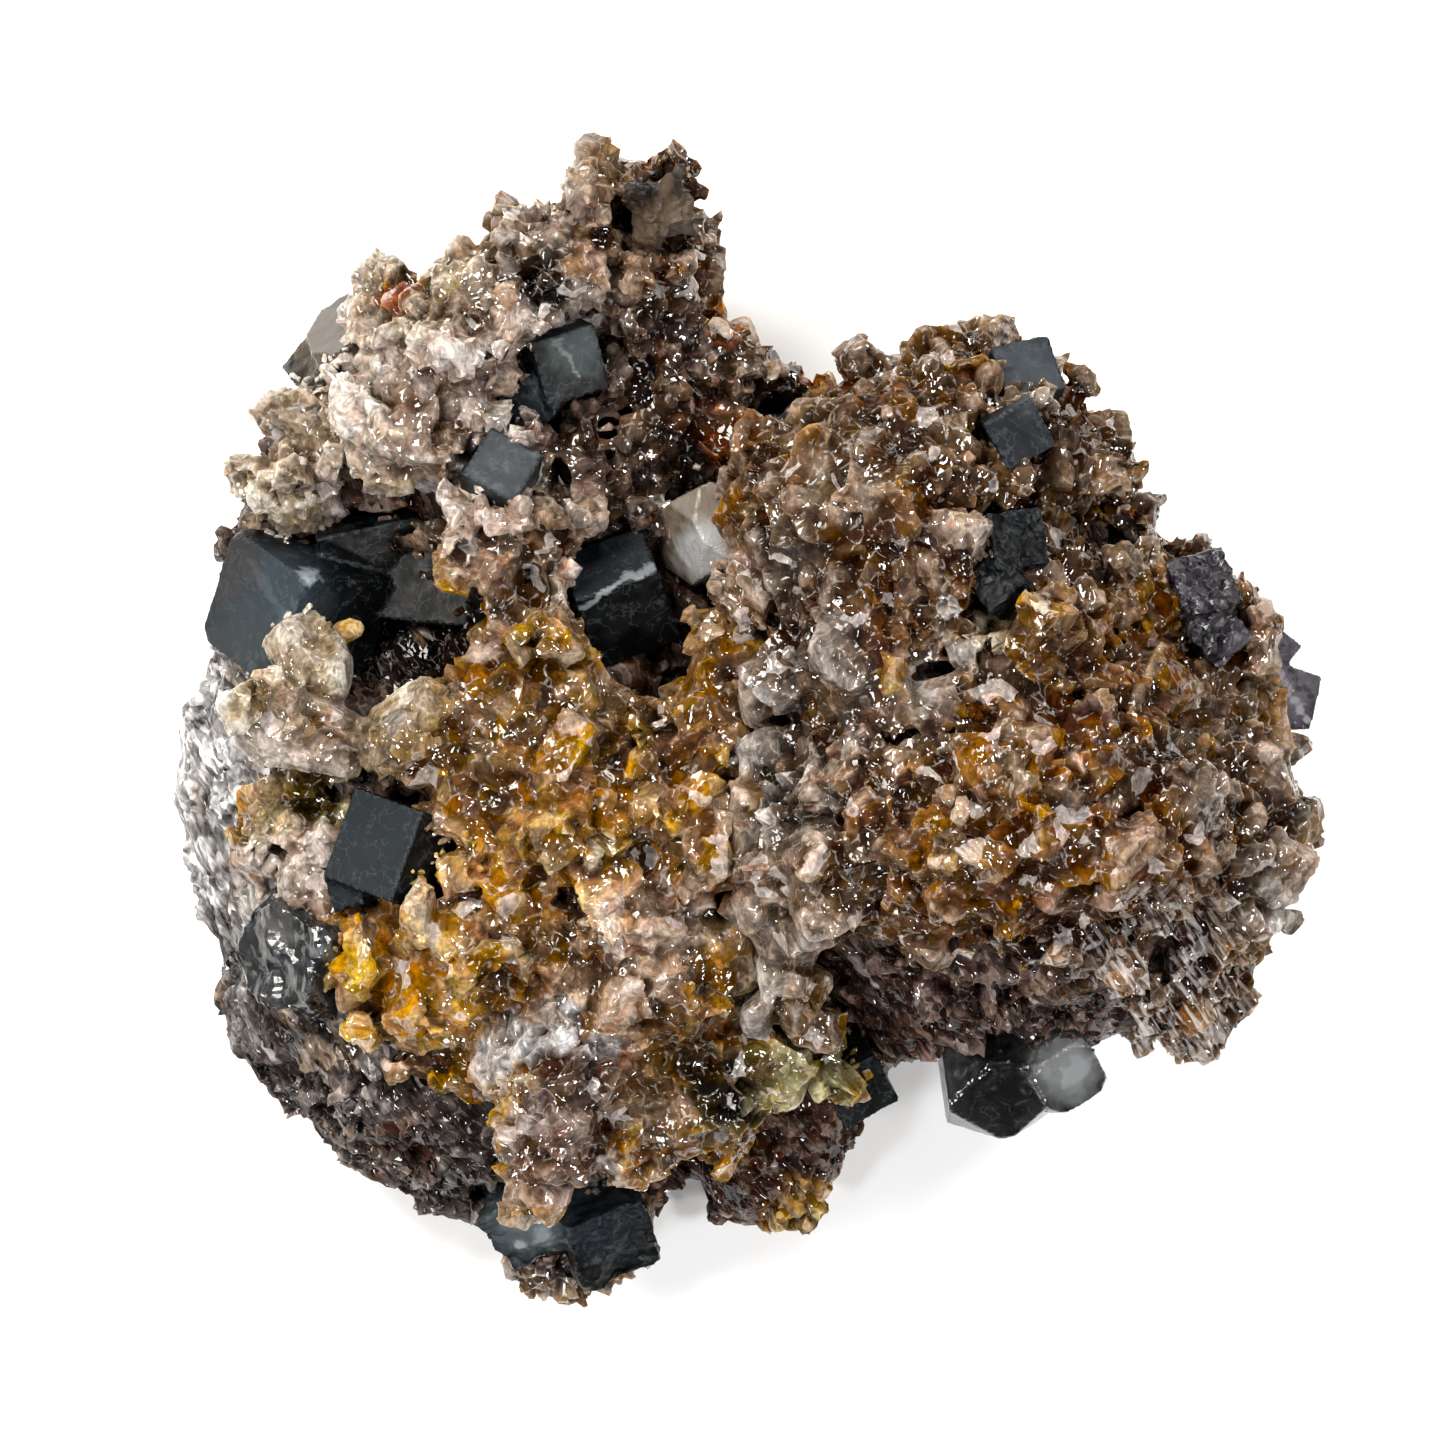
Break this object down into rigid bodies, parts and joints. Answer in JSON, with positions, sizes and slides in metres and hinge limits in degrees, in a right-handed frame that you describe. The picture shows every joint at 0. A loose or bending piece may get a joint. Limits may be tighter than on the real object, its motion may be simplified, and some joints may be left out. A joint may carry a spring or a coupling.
{
  "type": "fluorite specimen",
  "caption": "Natural mineral specimen with dark fluorite cubes in a vug and on rock, under a glassy honey and smoky quartz druse, lying on its flat back.",
  "frame": {"origin": "on the flat back that the specimen rests on, under the middle of its whole box", "axes": "+Z is the way the show face looks, +Y the upper end of that face, +X its right side"},
  "size_m": [0.0948, 0.096, 0.0525],
  "materials": {
    "host_rock": "dark purple-grey granular rock with small glints",
    "honey_quartz": "glassy tan, honey and pale quartz druse",
    "smoky_quartz_druse": "very glossy brown-grey quartz druse with golden patches",
    "pale_quartz": "glassy pale grey quartz",
    "fluorite": "smooth blue-black clear fluorite faces",
    "purple_fluorite": "smooth dark purple clear fluorite faces",
    "calcite": "pale frosted cleavage faces",
    "smoky_crystal": "clear smoky crystal faces"
  },
  "bodies": {
    "root": {"host_rock": "host_rock", "druse_left": "honey_quartz", "druse_right": "smoky_quartz_druse", "druse_foot": "pale_quartz", "fluorite_vug_cluster": "fluorite", "fluorite_bridge_cube": "fluorite", "fluorite_upper_pair": "fluorite", "fluorite_centre_cube": "fluorite", "calcite_centre_blade": "calcite", "fluorite_black_cube": "fluorite", "smoky_crystal_flank": "smoky_crystal", "fluorite_crown_upper_cube": "fluorite", "fluorite_crown_lower_cube": "fluorite", "fluorite_pit_cluster": "fluorite", "fluorite_purple_cluster": "purple_fluorite", "fluorite_edge_pair": "purple_fluorite", "smoky_crystals_underside": "smoky_crystal", "fluorite_foot_pair": "fluorite", "fluorite_plate_cube": "fluorite", "smoky_crystals_upper_edge": "smoky_crystal", "fluorite_knob_cube": "fluorite"}
  },
  "joints": []
}
